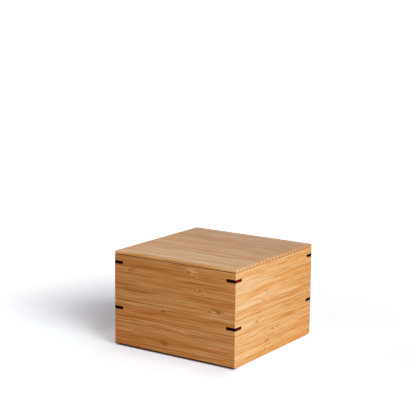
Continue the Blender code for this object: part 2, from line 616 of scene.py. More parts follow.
@dataclass(frozen=True)
class Board:
    """Where a board lies and which part of the plank pattern it was cut from."""

    name: str
    axis: GrainAxis
    lot: float
    low: Vector
    high: Vector
    knuckles: tuple[Knuckle, ...] = ()
    look: Look = Look()

    @property
    def middle(self) -> Vector:
        """The middle of the block whose outer edges are eased."""
        return (self.low + self.high) / 2

    @property
    def half(self) -> Vector:
        """Half the block's size."""
        return (self.high - self.low) / 2


@dataclass(frozen=True)
class Finish:
    """What all the woods share: a thin satin varnish over a slight relief in millimetres."""

    roughness: float = 0.46
    specular: float = 0.20
    relief: float = 0.03
    relief_share: float = 0.8

    def varnish(self, shop: FinishShop, web: NodeWeb, colour: Value, place: Value, height: Value) -> None:
        """Feeds a material's shader.

        Args:
            shop: The shared groups.
            web: The material's web.
            colour: The wood's colour.
            place: Millimetres round the board's middle.
            height: The relief, from 0 to 1.
        """
        handled = web.group(shop.handled, {"Position": place, "Even": self.roughness})
        bump = {"Height": height, "Distance": self.relief * MM, "Strength": self.relief_share}
        feeds = {
            "Base Color": colour,
            "Roughness": handled["Roughness"],
            "Normal": web.add("ShaderNodeBump", bump, "Normal"),
            "Specular IOR Level": self.specular,
        }
        web.feed_all(web.tree.nodes["Principled BSDF"], feeds)


@dataclass(frozen=True)
class BambooFinish(Finish):
    """Laminated bamboo, in linear colours."""

    tones: tuple[tuple[float, Colour], ...] = (
        (0.0, (0.715, 0.46, 0.240)),
        (0.35, (0.640, 0.355, 0.140)),
        (0.65, (0.555, 0.235, 0.056)),
        (1.0, (0.46, 0.145, 0.017)),
    )
    mean_tone: float = 0.45
    warm: Colour = (1.02, 0.955, 0.84)
    cool: Colour = (0.98, 1.045, 1.15)
    vein: Colour = (0.20, 0.048, 0.006)
    vein_share: float = 0.75
    glue: Colour = (0.32, 0.10, 0.018)
    glue_share: float = 0.35
    pale: Colour = (0.80, 0.44, 0.15)
    strip: float = 5.0
    lot_gap: float = 40.0
    end_wear: float = 0.1
    end_dim: float = 0.15

    def stock(self, web: NodeWeb, board: Board, tone: Value, strips: dict[str, Value]) -> Value:
        """The colour of plain strips.

        Args:
            web: The material's web.
            board: The board to dress.
            tone: From pale at 0 to dark at 1.
            strips: What the group of the strips gives.

        Returns:
            The colour, its lines laid over it.
        """
        tint = Vector(board.look.tint)
        colour = web.ramp(tone, tuple((place, tuple(Vector(stop) * tint)) for place, stop in self.tones))
        colour = web.mix(1.0, colour, web.mix(strips["Hue"], self.warm, self.cool), "MULTIPLY")
        lines = board.look.lines
        colour = web.mix(strips["Vein"] * (self.vein_share * lines), colour, self.vein)
        return web.mix(strips["Glue"] * (self.glue_share * lines), colour, self.glue)

    def material(self, shop: FinishShop, board: Board, end: bool = False) -> Material:
        """The board's material.

        Args:
            shop: The shared groups.
            board: The board to dress.
            end: Whether it is for the sawn ends of the fibres.

        Returns:
            The material.
        """
        look = board.look
        material, web = new_material(f"bamboo_{board.name}" + ("_end" if end else ""))
        shift = Matrix(board.axis.value) @ board.low * -TO_MM
        shift = (0.0, shift.y, self.lot_gap * board.lot + shift.z)
        grain = in_millimetres(web, shift, board.axis.turn)
        place = in_millimetres(web, -board.middle * TO_MM)
        feeds = {"Grain": grain, "Strip Width": self.strip, "Lot": board.lot, "Length": look.length}
        strips = web.group(shop.strips, feeds)
        tone = strips["Tone"]
        if end:
            feeds = {"Grain": grain, "Place": place, "Skin": strips["Skin"], "Edge": strips["Edge"]}
            tone = web.group(shop.end_grain, feeds)["Tone"]
        terms = ((tone, look.contrast), (place.dot(look.drift), 1.0))
        tone = web.weigh(terms, self.mean_tone * (1.0 - look.contrast))
        colour = self.stock(web, board, tone, strips)
        for knuckle in board.knuckles:
            colour = knuckle.paint(web, shop.knuckle, grain, self.pale, colour)
        # Eased edges turn to the worn colour: edge wear, and a painted highlight where the rounds catch
        # the light.
        feeds = {"Position": place, "Half Size": board.half * TO_MM, "Width": look.wear_width}
        wear = web.group(shop.edges, feeds)["Wear"] * (look.wear * (self.end_wear if end else 1.0))
        colour = web.mix(wear, colour, look.worn)
        # Lightness: dark tones deepened by depth, sawn ends dimmed, and look.shade paints a falloff of
        # light across the board.
        lift = 1.0 + look.depth * self.mean_tone - (self.end_dim if end else 0.0)
        light = tone * -look.depth + lift - place.dot(look.shade)
        colour = colour * web.join(light, light, light)
        # Bands at the foot and rim, most of them painted shade for the gaps and downward rounds.
        for band, upwards in ((look.foot, 1.0), (look.rim, -1.0)):
            if band and not end:
                depth = place.split()[2] * upwards + board.half.z * TO_MM
                colour = band.paint(web, shop.band, depth, colour)
        self.varnish(shop, web, colour, place, strips["Relief"])
        return material


@dataclass(frozen=True)
class KeyWoodFinish(Finish):
    """Dark hardwood with a red heart, in linear colours."""

    roughness: float = 0.50
    specular: float = 0.01
    relief: float = 0.02
    relief_share: float = 0.6
    dark: Colour = (0.0022, 0.0012, 0.0014)
    brown: Colour = (0.0055, 0.0026, 0.0028)
    heart: Colour = (0.15, 0.0030, 0.0090)
    heart_middle: float = 5.5
    heart_reach: float = 6.5
    wear: float = 0.15
    wear_width: float = 0.4

    def material(self, shop: FinishShop, name: str, low: Vector, high: Vector) -> Material:
        """The keys' material.

        Args:
            shop: The shared groups.
            name: What to call it.
            low: The low corner of the tier's block.
            high: Its high corner.

        Returns:
            The material.
        """
        material, web = new_material(name)
        place = in_millimetres(web, (low + high) * (-TO_MM / 2))
        feeds = {"Position": place, "Heart Middle": self.heart_middle, "Heart Reach": self.heart_reach}
        figure = web.group(shop.key_figure, feeds)
        colour = web.mix(figure["Brown"], self.dark, self.brown)
        colour = web.mix(figure["Heart"], colour, self.heart)
        feeds = {"Position": place, "Half Size": (high - low) * (TO_MM / 2), "Width": self.wear_width}
        wear = web.group(shop.edges, feeds)["Wear"]
        colour = web.mix(wear * self.wear, colour, self.heart)
        self.varnish(shop, web, colour, place, figure["Pores"])
        return material


def put_in_scene(name: str, data: ID) -> Object:
    """A new object in the scene, at the origin.

    Args:
        name: The object's name.
        data: Its mesh, lamp or camera.

    Returns:
        The object.
    """
    thing = bpy.data.objects.new(name, data)
    bpy.context.scene.collection.objects.link(thing)
    return thing


def finish_mesh(mesh: Mesh) -> None:
    """Merges doubled corners, turns every face outwards, and shades only the rounds smooth.

    Args:
        mesh: The mesh, which is changed.
    """
    shape = bmesh.new()
    shape.from_mesh(mesh)
    bmesh.ops.remove_doubles(shape, verts=shape.verts, dist=WELD)
    bmesh.ops.recalc_face_normals(shape, faces=shape.faces)
    shape.to_mesh(mesh)
    shape.free()
    mesh.set_sharp_from_angle(angle=SHARP_ANGLE)
    plane = 0.9999
    for face in mesh.polygons:
        face.use_smooth = max(abs(part) for part in face.normal) < plane


def outline_mesh(name: str, points: list[Triple]) -> Mesh:
    """A closed outline for Geometry Nodes, each corner with the radius that rounds it.

    Args:
        name: The mesh's name.
        points: Each corner's two coordinates and its radius.

    Returns:
        A mesh of edges with the radius in an attribute named round.
    """
    mesh = bpy.data.meshes.new(name)
    count = len(points)
    edges = [(i, (i + 1) % count) for i in range(count)]
    mesh.from_pydata([(x, y, 0.0) for x, y, _ in points], edges, [])
    radii = mesh.attributes.new("round", "FLOAT", "POINT")
    radii.data.foreach_set("value", [radius for _, _, radius in points])
    return mesh


def grow(name: str, outline: Mesh, tree: NodeTree, settings: dict) -> Object:
    """Runs a Geometry Nodes tree on an outline and keeps the result as a plain mesh.

    Args:
        name: The piece's name.
        outline: The mesh that the tree starts from.
        tree: The tree.
        settings: Its named inputs.

    Returns:
        The piece, with no modifier left.
    """
    piece = put_in_scene(name, outline)
    modifier = piece.modifiers.new("grow", "NODES")
    modifier.node_group = tree
    for item in tree.interface.items_tree:
        if item.item_type == "SOCKET" and item.in_out == "INPUT" and item.name in settings:
            modifier[item.identifier] = settings[item.name]
    graph = bpy.context.evaluated_depsgraph_get()
    mesh = bpy.data.meshes.new_from_object(piece.evaluated_get(graph))
    piece.modifiers.remove(modifier)
    piece.data = mesh
    mesh.name = name
    finish_mesh(mesh)
    return piece


def swept_curve(web: NodeWeb, outline: Value, path: Value, count: int) -> Value:
    """A closed solid: an outline with its corners rounded, swept along a path.

    Args:
        web: The tree's web.
        outline: The closed outline, with the radii in its attribute named round.
        path: The curve to sweep along.
        count: How finely each corner is rounded.

    Returns:
        The solid.
    """
    feeds = {
        "Curve": web.add("GeometryNodeMeshToCurve", {0: outline}),
        "Radius": web.add("GeometryNodeInputNamedAttribute", {"Name": "round"}, data_type="FLOAT"),
        "Limit Radius": True,
        "Count": count,
    }
    rounded = web.add("GeometryNodeFilletCurve", feeds, mode="POLY")
    feeds = {"Curve": path, "Profile Curve": rounded, "Fill Caps": True}
    return web.add("GeometryNodeCurveToMesh", feeds)


def finished(web: NodeWeb, shape: Value, wood: Value) -> Value:
    """The shape with its instances made real and its material set."""
    real = web.add("GeometryNodeRealizeInstances", {"Geometry": shape})
    return web.add("GeometryNodeSetMaterial", {"Geometry": real, "Material": wood})


def wall_tree() -> NodeTree:
    """The Geometry Nodes tree of a mitred wall.

    A profile is swept along the wall, its ends are mitred, the two upright corners are
    rounded, and a kerf for a corner key is cut at each end.

    Returns:
        The tree.
    """
    numbers = ["Half Side", "Corner Round", "Kerf Depth", "Kerf Level", "Kerf Height", "Turn"]
    takes = {"Geometry": ["Profile"], "Float": numbers, "Int": ["Corner Steps"], "Material": ["Wood"]}
    web = NodeGroup("mitred_wall", takes, {"Geometry": ["Wall"]}, "GeometryNodeTree")
    profile, half, radius, depth, level, height, turn, steps, wood = web.takes
    flat = half - radius
    line = web.add("GeometryNodeMeshLine", {"Count": steps * 2.0 + 2.0})
    index = web.add("GeometryNodeInputIndex")
    second = index.over(steps + 0.5)
    left = index / steps * radius - half
    right = (index - steps - 1.0) / steps * radius + flat
    stop = web.add("ShaderNodeMix", {0: second, 2: left, 3: right})
    path = web.add("GeometryNodeSetPosition", {"Geometry": line, "Position": web.join(stop, 0.0, 0.0)})
    path = web.add("GeometryNodeMeshToCurve", {0: path})
    solid = swept_curve(web, profile, path, ROUND_STEPS)

    x, y, z = web.add("GeometryNodeInputPosition").split()
    mitred = web.join(x * (abs(y) / half), y, z)
    solid = web.add("GeometryNodeSetPosition", {"Geometry": solid, "Position": mitred})

    past_x = abs(x) - flat
    past_y = abs(y) - flat
    nearly_none = 1e-9
    length = web.join(past_x, past_y, 0.0).length().most(nearly_none)
    shrink = past_x.most(past_y) / length
    new_x = (past_x * shrink + flat) * x.sign()
    new_y = (past_y * shrink + flat) * y.sign()
    inside = past_x.least(past_y).over(0.0)
    feeds = {"Geometry": solid, "Selection": inside, "Position": web.join(new_x, new_y, z)}
    solid = web.add("GeometryNodeSetPosition", feeds)

    diagonal = math.sqrt(2.0)
    plate = web.add("GeometryNodeMeshCube", {"Size": web.join(half, half, height)})
    offset = (half * diagonal - depth + half / 2.0) / diagonal
    back = offset * -1.0
    solid = web.add("GeometryNodeMergeByDistance", {"Geometry": solid, "Distance": WELD})
    cut = web.node("GeometryNodeMeshBoolean", {"Mesh 1": solid}, operation="DIFFERENCE", solver="EXACT")
    turned = {"Geometry": plate, "Rotation": (0.0, 0.0, QUARTER / 2)}
    for across in (offset, back):
        feeds = turned | {"Translation": web.join(across, back, level)}
        web.feed(cut.inputs["Mesh 2"], web.add("GeometryNodeTransform", feeds))
    feeds = {"Geometry": Value(web, cut.outputs[0]), "Rotation": web.join(0.0, 0.0, turn)}
    return web.give(Wall=finished(web, web.add("GeometryNodeTransform", feeds), wood))


def key_tree() -> NodeTree:
    """The Geometry Nodes tree of a tier's corner keys: one slip, placed at each corner.

    Returns:
        The tree.
    """
    numbers = ["Level", "Thickness"]
    takes = {"Geometry": ["Slip"], "Int": ["Corners"], "Float": numbers, "Material": ["Wood"]}
    web = NodeGroup("corner_keys", takes, {"Geometry": ["Keys"]}, "GeometryNodeTree")
    outline, corners, level, thickness, wood = web.takes
    half = thickness / 2.0
    feeds = {"Start": web.join(0.0, 0.0, level - half), "End": web.join(0.0, 0.0, level + half)}
    path = web.add("GeometryNodeCurvePrimitiveLine", feeds)
    slip = swept_curve(web, outline, path, KEY_ROUND_STEPS)
    slip = web.add("GeometryNodeMergeByDistance", {"Geometry": slip, "Distance": WELD})
    angle = web.add("GeometryNodeInputIndex") * (2 * math.pi) / corners
    feeds = {
        "Points": web.add("GeometryNodePoints", {"Count": corners}),
        "Instance": slip,
        "Rotation": web.add("FunctionNodeEulerToRotation", {0: web.join(0.0, 0.0, angle)}),
    }
    return web.give(Keys=finished(web, web.add("GeometryNodeInstanceOnPoints", feeds), wood))


@dataclass(frozen=True)
class Ring:
    """One level of a square board: half its side, its height and its corners' radius."""

    half: float
    height: float
    corner: float

    def loop(self) -> list[Triple]:
        """Its points.

        Returns:
            The points, counterclockwise from the +Y end of the +X side.
        """
        points = []
        for quarter in range(4):
            centre = Vector((self.half - self.corner, self.half - self.corner))
            centre.rotate(Matrix.Rotation(QUARTER * quarter, 2))
            for i in range(ROUND_STEPS + 1):
                angle = QUARTER * (quarter + i / ROUND_STEPS)
                spot = centre + Vector((math.cos(angle), math.sin(angle))) * self.corner
                points.append((spot.x, spot.y, self.height))
        return points


def round_rings(start: Ring, end: Ring, steps: int = ROUND_STEPS) -> list[Ring]:
    """Rings along the quarter round between an upright face and a level one.

    Args:
        start: The ring where the round begins.
        end: The ring where it ends.
        steps: How many faces it has.

    Returns:
        The rings, both ends among them.
    """
    rings = []
    for i in range(steps + 1):
        angle = QUARTER * i / steps
        out, up = math.sin(angle), 1 - math.cos(angle)
        if end.half < start.half:
            out, up = 1 - math.cos(angle), math.sin(angle)
        half = start.half + (end.half - start.half) * out
        height = start.height + (end.height - start.height) * up
        rings.append(Ring(half, height, start.corner + (end.corner - start.corner) * out))
    return rings


def square_board(name: str, rings: list[Ring], woods: list[Material]) -> Object:
    """A closed square board, whose fibres run along X.

    Args:
        name: The piece's name.
        rings: Its levels, lowest first.
        woods: Its face, its sawn ends and, where it differs from the face, its long edges.

    Returns:
        The piece.
    """
    shape = bmesh.new()
    loops = [[shape.verts.new(point) for point in ring.loop()] for ring in rings]
    for below, above in zip(loops, loops[1:]):
        for i in range(len(below)):
            shape.faces.new((below[i - 1], below[i], above[i], above[i - 1]))
    shape.faces.new(reversed(loops[0]))
    shape.faces.new(loops[-1])
    mesh = bpy.data.meshes.new(name)
    shape.to_mesh(mesh)
    shape.free()
    finish_mesh(mesh)
    for wood in woods:
        mesh.materials.append(wood)
    upright = 0.4
    for polygon in mesh.polygons:
        if abs(polygon.normal.x) > upright:
            polygon.material_index = 1
        elif abs(polygon.normal.y) > upright:
            polygon.material_index = 2 % len(woods)
    return put_in_scene(name, mesh)


def stand_for(piece: Object, body: str, nodes: list[str]) -> None:
    """Puts a finished piece in the frame.

    Args:
        piece: The piece, in place.
        body: The body that it rides on.
        nodes: The nodes that it stands for.
    """
    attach(piece, body)
    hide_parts(*nodes)
    log.info("%s stands for %s on %s", piece.name, ", ".join(nodes), body)


@dataclass(frozen=True)
class WallCut:
    """What sets one wall apart: its part of the plank, its wood, its knuckles and its rim.

    The rim drop is how far the sanded rim lies under its full height.
    """

    lot: float
    look: Look
    knuckles: tuple[Knuckle, ...] = ()
    rim_drop: float = 0.0


@dataclass
class Tier:
    """One tier: four mitred walls round a base board, with a key let into each corner."""

    name: TierName
    shop: FinishShop
    walls: NodeTree
    keys: NodeTree
    cuts: dict[Side, WallCut]
    side: float = 0.1200
    thickness: float = 0.0050
    rim_lip: float = 0.0024
    rim_rebate: float = 0.0018
    foot_lip: float = 0.0025
    corner_round: float = 0.0005
    rim_round: float = 0.0004
    foot_round: float = 0.0004
    foot_reach: float = 0.0
    inner_round: float = 0.0004
    base_round: float = 0.0005
    base_lot_shift: float = 4.0
    base_knuckles: tuple[Knuckle, ...] = (Knuckle(-31.0, 23.5), Knuckle(22.0, 67.5), Knuckle(-8.0, 92.5))
    key_depth: float = 0.00617
    bamboo: BambooFinish = BambooFinish(specular=0.06)
    key_wood: KeyWoodFinish = KeyWoodFinish()

    @property
    def body(self) -> str:
        """The body that the tier is."""
        return f"{self.name.value}_tier"

    @property
    def half(self) -> float:
        """Half the box's side."""
        return self.side / 2

    def node(self, part: str) -> str:
        """The name of one of the tier's nodes."""
        return f"{self.name.value}_{part}"

    def levels(self, part: str) -> Pair:
        """The lowest and highest level of one of the tier's nodes."""
        low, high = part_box(self.node(part))
        return low[2], high[2]

    def block(self) -> tuple[Vector, Vector]:
        """The two corners of the block that the tier's walls fill."""
        foot, rim = self.levels("wall_front")
        return Vector((-self.half, -self.half, foot)), Vector((self.half, self.half, rim))

    def wall_profile(self, rim_drop: float) -> Mesh:
        """The walls' cross-section: rebated at rim and foot, its outer edges eased.

        Args:
            rim_drop: How far the sanded rim lies under its full height.

        Returns:
            The outline.
        """
        foot, rim = self.levels("wall_front")
        foot -= self.foot_reach
        rim -= rim_drop
        seat = self.levels("base")[1] + HAIRLINE
        section = (
            (0.0, foot, self.foot_round),
            (0.0, rim, self.rim_round),
            (self.rim_lip, rim, self.inner_round / 2),
            (self.rim_lip, rim - self.rim_rebate, 0.0),
            (self.thickness, rim - self.rim_rebate, self.inner_round),
            (self.thickness, seat, 0.0),
            (self.foot_lip, seat, 0.0),
            (self.foot_lip, foot, self.inner_round / 2),
        )
        points = [(self.half - deep, -level, radius) for deep, level, radius in section]
        return outline_mesh("wall_profile", points)

    def build_walls(self) -> None:
        """Makes the four walls, each from its own part of the plank."""
        key_low, key_high = self.levels("key_front_right")
        for side in Side:
            cut = self.cuts[side]
            across = side in (Side.RIGHT, Side.LEFT)
            axis = GrainAxis.UPRIGHT_ALONG_Y if across else GrainAxis.UPRIGHT_ALONG_X
            board = Board(self.node(side.label), axis, cut.lot, *self.block(), cut.knuckles, cut.look)
            settings = {
                "Half Side": self.half,
                "Corner Round": self.corner_round,
                "Corner Steps": ROUND_STEPS,
                "Kerf Depth": self.key_depth,
                "Kerf Level": (key_low + key_high) / 2,
                "Kerf Height": key_high - key_low,
                "Turn": side.turn,
                "Wood": self.bamboo.material(self.shop, board),
            }
            name = self.node(f"mitred_{side.label}_wall")
            wall = grow(name, self.wall_profile(cut.rim_drop), self.walls, settings)
            stand_for(wall, self.body, [self.node(f"wall_{side.label}")])

    def build_base(self) -> None:
        """Makes the base board."""
        low, high = self.levels("base")
        half = self.half - self.foot_lip - HAIRLINE
        ease = self.base_round
        rings = round_rings(Ring(half - ease, low, ease / 2), Ring(half, low + ease, ease))
        rings.append(Ring(half, high, ease))
        drop = (self.levels("wall_front")[0] - low) * TO_MM
        lot = self.cuts[Side.BACK].lot + self.base_lot_shift
        corners = Vector((-half, -half, low)), Vector((half, half, high))
        # The base board's inset edge gets the painted shade of the gap under the walls.
        look = Look(foot=replace(PAINTED_FOOT_SHADE, reach=drop))
        board = Board(self.node("base"), GrainAxis.FLAT_ALONG_X, lot, *corners, self.base_knuckles, look)
        woods = [self.bamboo.material(self.shop, board, end) for end in (False, True)]
        piece = square_board(self.node("base_board"), rings, woods)
        stand_for(piece, self.body, [self.node("base")])

    def build_keys(self) -> None:
        """Makes the four corner keys as one piece."""
        low, high = self.levels("key_front_right")
        half = self.half
        inner = half - self.key_depth * math.sqrt(2.0)
        points = [(half, -half, self.corner_round), (half, -inner, 0.0), (inner, -half, 0.0)]
        settings = {
            "Corners": len(Side),
            "Level": (low + high) / 2,
            "Thickness": high - low - HAIRLINE,
            "Wood": self.key_wood.material(self.shop, self.node("key_wood"), *self.block()),
        }
        slip = outline_mesh("key_slip", points)
        keys = grow(self.node("corner_keys"), slip, self.keys, settings)
        corners = ("front_right", "back_right", "back_left", "front_left")
        stand_for(keys, self.body, [self.node(f"key_{corner}") for corner in corners])

    def build(self) -> None:
        """Makes the whole tier."""
        self.build_walls()
        self.build_base()
        self.build_keys()


@dataclass
class Lid:
    """The flat lid: a board that stands out a little past the walls, and a plug in the rim."""

    shop: FinishShop
    lot: float
    side: float = 0.1204
    edge: float = 0.0022
    plug_side: float = 0.1144
    corner_round: float = 0.0007
    top_corner_round: float = 0.00014
    top_round: float = 0.0016
    under_round: float = 0.0002
    plug_round: float = 0.0004
    # Painted light: the long edges get a paler tint and a golden painted highlight where their rounds
    # catch the light from above, and end_shade paints the sawn ends darker towards the back and the top.
    edge_tint: Colour = (1.22, 1.34, 1.54)
    edge_worn: Colour = (1.0, 0.69, 0.34)
    edge_wear: float = 0.4
    end_shade: Triple = (0.0, 0.0019, 0.08)
    bamboo: BambooFinish = BambooFinish()
    knuckles: tuple[Knuckle, ...] = (Knuckle(41.0, 92.5, 0.3), Knuckle(-44.0, 62.5, 0.3))
    # Painted light on the lid: a bluer tint for the sheen of the white backdrop on the top, a painted
    # gradient darker towards the back, and a painted highlight on its eased edges.
    look: Look = Look(
        tint=(1.025, 1.12, 1.40),
        contrast=0.85,
        length=0.8,
        drift=(0.0, 0.0012, 0.0),
        shade=(0.0, 0.0019, 0.0),
        wear=0.3,
        worn=(0.95, 0.65, 0.42),
    )

    def rings(self, low: float, high: float) -> list[Ring]:
        """The lid's levels.

        Args:
            low: The height of the plug's underside.
            high: The height of the lid's top.

        Returns:
            The rings, from the plug's underside up.
        """
        half = self.side / 2
        plug = self.plug_side / 2
        under = high - self.edge
        ease = self.plug_round
        rings = round_rings(Ring(plug - ease, low, ease / 2), Ring(plug, low + ease, ease))
        rings.append(Ring(plug, under, ease))
        ease = self.under_round
        start = Ring(half - ease, under, self.corner_round - ease)
        rings += round_rings(start, Ring(half, under + ease, self.corner_round))
        ease = self.top_round
        end = Ring(half - ease, high, self.top_corner_round)
        return rings + round_rings(Ring(half, high - ease, self.corner_round), end, TOP_ROUND_STEPS)

    def build(self) -> None:
        """Makes the lid."""
        low, high = (corner[2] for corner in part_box("lid"))
        half = self.side / 2
        corners = Vector((-half, -half, high - self.edge)), Vector((half, half, high))
        board = Board("lid", GrainAxis.FLAT_ALONG_X, self.lot, *corners, self.knuckles, self.look)
        end_look = replace(self.look, shade=self.end_shade)
        # The long edges get a lit copy of the face's wood: painted light.
        lit_edge_look = replace(self.look, tint=self.edge_tint, worn=self.edge_worn, wear=self.edge_wear)
        woods = [
            self.bamboo.material(self.shop, board),
            self.bamboo.material(self.shop, replace(board, look=end_look), end=True),
            self.bamboo.material(self.shop, replace(board, name="lid_edge", look=lit_edge_look)),
        ]
        piece = square_board("lid_board", self.rings(low, high), woods)
        stand_for(piece, "lid", ["lid"])


@dataclass(frozen=True)
class SoftLight:
    """A broad light so far off that only its direction and breadth count, in degrees."""

    name: str
    azimuth: float
    elevation: float
    spread: float
    strength: float
    colour: Colour = (1.0, 1.0, 1.0)

    def build(self) -> None:
        """Hangs the light up."""
        data = bpy.data.lights.new(self.name, "SUN")
        data.energy = self.strength
        data.color = self.colour
        data.angle = math.radians(self.spread)
        turn = Euler((0.0, math.radians(90.0 - self.elevation), math.radians(self.azimuth)))
        lamp = put_in_scene(self.name, data)
        lamp.rotation_euler = turn
        lamp.location = turn.to_matrix() @ Vector((0.0, 0.0, 1.0))


@dataclass(frozen=True)
class FloorPart:
    """A part of the floor with a colour of its own, wherever all its steps are full.

    Its colour is painted shade or painted light on the floor. Each step names a measure and rises from 0
    at its first value to 1 at its second.
    """

    name: str
    colour: Colour
    steps: tuple[tuple[str, float, float], ...]


@dataclass(frozen=True)
class Floor:
    """A white sweep, whose colour as the camera sees it differs near the box.

    Near the box, patches of painted shadow and painted light change that colour. What it throws back on
    the box stays plain.
    """

    half: float = 30.0
    bounce: Colour = (0.72, 0.72, 0.72)
    ahead: Colour = (1.45, 1.54, 1.60)
    # Where the painted patches lie, in metres.
    front_foot: Triple = (0.0, -0.062, 0.0)
    foot_shape: Triple = (0.25, 1.0, 1.0)
    right_corner: Triple = (0.058, -0.068, 0.0)
    left_corner: Triple = (-0.060, -0.060, 0.0)
    left_behind: Triple = (-0.56, 0.83, 0.0)
    left_aside: Triple = (-0.83, -0.56, 0.0)
    left_spread: float = 0.6
    left_start: float = 0.001
    left_width: float = 0.020
    # Painted shadow and light as the camera sees the floor: beside tints the shadow's core, close is
    # shade before the front foot, corner a faint shadow by the front-right corner, glow lifts the shadow
    # behind the front-left corner, edge and right lift the contact shadow at the front and right feet,
    # under darkens the floor beneath the walls, and far lifts the shadow's far tail.
    parts: tuple[FloorPart, ...] = (
        FloorPart("beside", (1.33, 1.34, 1.50), (("y", -0.07, 0.01),)),
        FloorPart("close", (1.25, 1.41, 1.59), (("before", 0.022, 0.006),)),
        FloorPart("corner", (1.21, 1.33, 1.41), (("corner", 0.036, 0.004),)),
        FloorPart(
            "glow",
            (2.55, 2.54, 3.00),
            (("aside", 1.0, 0.0), ("behind", 0.080, 0.012), ("behind", 0.0, 0.010)),
        ),
        FloorPart(
            "edge",
            (1.58, 1.59, 1.77),
            (("square", 0.0640, 0.0605), ("y", -0.059, -0.0605), ("across", 0.061, 0.050)),
        ),
        FloorPart("under", (1.05, 0.90, 0.85), (("square", 0.0600, 0.0588),)),
        FloorPart(
            "right",
            (1.55, 1.75, 2.05),
            (("x", 0.0565, 0.0585), ("x", 0.0640, 0.0610), ("y", -0.059, -0.045), ("y", 0.062, 0.059)),
        ),
        FloorPart("far", (1.66, 1.64, 1.54), (("away", 0.16, 0.34),)),
    )

    def measures(self, web: NodeWeb) -> dict[str, Value]:
        """How far the shaded point lies from what bounds the parts.

        Args:
            web: The material's web.

        Returns:
            In metres: x and y, across to either side, square to the nearest side, away from
            the middle, before the front foot, corner from the front-right one, and behind
            the front-left one along the shadow. Aside is in shares of the shadow's width.
        """
        place = web.add("ShaderNodeTexCoord", out="Object")
        x, y, _ = place.split()
        corner = place - self.left_corner
        behind = corner.dot(self.left_behind)
        width = (behind * self.left_spread + self.left_start).least(self.left_width)
        return {
            "x": x,
            "y": y,
            "across": abs(x),
            "square": abs(x).most(abs(y)),
            "away": place.length(),
            "before": ((place - self.front_foot) * self.foot_shape).length(),
            "corner": (place - self.right_corner).length(),
            "behind": behind,
            "aside": corner.dot(self.left_aside) / width,
        }

    def material(self) -> Material:
        """The sweep's material.

        Returns:
            The material.
        """
        material, web = new_material("white_sweep")
        web.tree.nodes.remove(web.tree.nodes["Principled BSDF"])
        measures = self.measures(web)
        # The colour the camera sees, with painted shadow and light laid on part by part.
        colour: object = self.ahead
        for part in self.parts:
            masks = [measures[measure].step(low, high) for measure, low, high in part.steps]
            colour = web.mix(math.prod(masks[1:], start=masks[0]), colour, part.colour)
        seen = web.add("ShaderNodeBsdfDiffuse", {"Color": colour})
        real = web.add("ShaderNodeBsdfDiffuse", {"Color": self.bounce})
        mixed = web.add("ShaderNodeMixShader", {0: seen_directly(web), 1: real, 2: seen})
        web.feed(web.tree.nodes["Material Output"].inputs["Surface"], mixed)
        return material

    def build(self) -> None:
        """Lays the floor."""
        mesh = bpy.data.meshes.new("floor")
        ends = (-self.half, self.half)
        mesh.from_pydata([(x, y, 0.0) for y in ends for x in ends], [], [(0, 1, 3, 2)])
        mesh.materials.append(self.material())
        put_in_scene("floor", mesh)


def seen_directly(web: NodeWeb) -> Value:
    """1 for what the camera, a mirror or a glass sees, else 0."""
    rays = web.values(web.node("ShaderNodeLightPath"))
    return rays["Is Camera Ray"].most(rays["Is Glossy Ray"]).most(rays["Is Transmission Ray"])


@dataclass(frozen=True)
class Studio:
    """A white floor and backdrop, soft lights mostly from the right, and the camera."""

    camera_place: Triple = (0.5504, -0.8279, 0.3024)
    heading: float = 33.963
    pitch: float = 10.697
    roll: float = 0.499
    lens: float = 104.4
    sensor: float = 36.0
    lights: tuple[SoftLight, ...] = (
        SoftLight("front_key", -31.4, 27.6, 29.5, 1.32),
        SoftLight("broad_key", -10.3, 16.9, 51.4, 2.41),
        SoftLight("overhead", 64.0, 50.0, 50.0, 0.50, (1.0, 0.90, 0.82)),
    )
    fill: float = 0.197
    backdrop_bounds: Pair = (-0.2, 0.2)
    floor: Floor = Floor()

    def build_camera(self) -> None:
        """Sets the camera where the photograph was taken from."""
        data = bpy.data.cameras.new("camera")
        data.lens = self.lens
        data.sensor_width = self.sensor
        camera = put_in_scene("camera", data)
        matrix = Matrix.Translation(self.camera_place)
        for angle, axis in ((self.heading, "Z"), (90.0 - self.pitch, "X"), (self.roll, "Z")):
            matrix = matrix @ Matrix.Rotation(math.radians(angle), 4, axis)
        camera.matrix_world = matrix
        bpy.context.scene.camera = camera

    def build_world(self) -> None:
        """Fills the scene with even light, and shows white behind the floor's end."""
        world = bpy.data.worlds.new("studio")
        world.use_nodes = True
        web = NodeWeb(world.node_tree)
        heading = math.radians(self.heading)
        ahead = (-math.sin(heading), math.cos(heading), 0.0)
        towards = web.add("ShaderNodeTexCoord", out="Generated")
        backdrop = towards.dot(ahead).step(*self.backdrop_bounds)
        level = seen_directly(web) * backdrop * (1.0 - self.fill) + self.fill
        shader = world.node_tree.nodes["Background"]
        web.feed_all(shader, {"Color": (1.0, 1.0, 1.0), "Strength": level})
        bpy.context.scene.world = world

    def build(self) -> None:
        """Sets up the whole studio."""
        bpy.context.scene.view_settings.view_transform = "Standard"
        self.build_camera()
        for light in self.lights:
            light.build()
        self.build_world()
        self.floor.build()
        log.info("studio set up")


# Painted shade: the front walls face away from the lamps, so they get a darker, redder tint, deeper dark
# tones, and a painted gradient darker towards the left.
FRONT_LOOK = Look(
    tint=(0.945, 0.765, 0.61),
    contrast=0.68,
    drift=(-0.0008, 0.0, 0.0),
    shade=(-0.0010, 0.0, 0.0),
    depth=0.28,
)
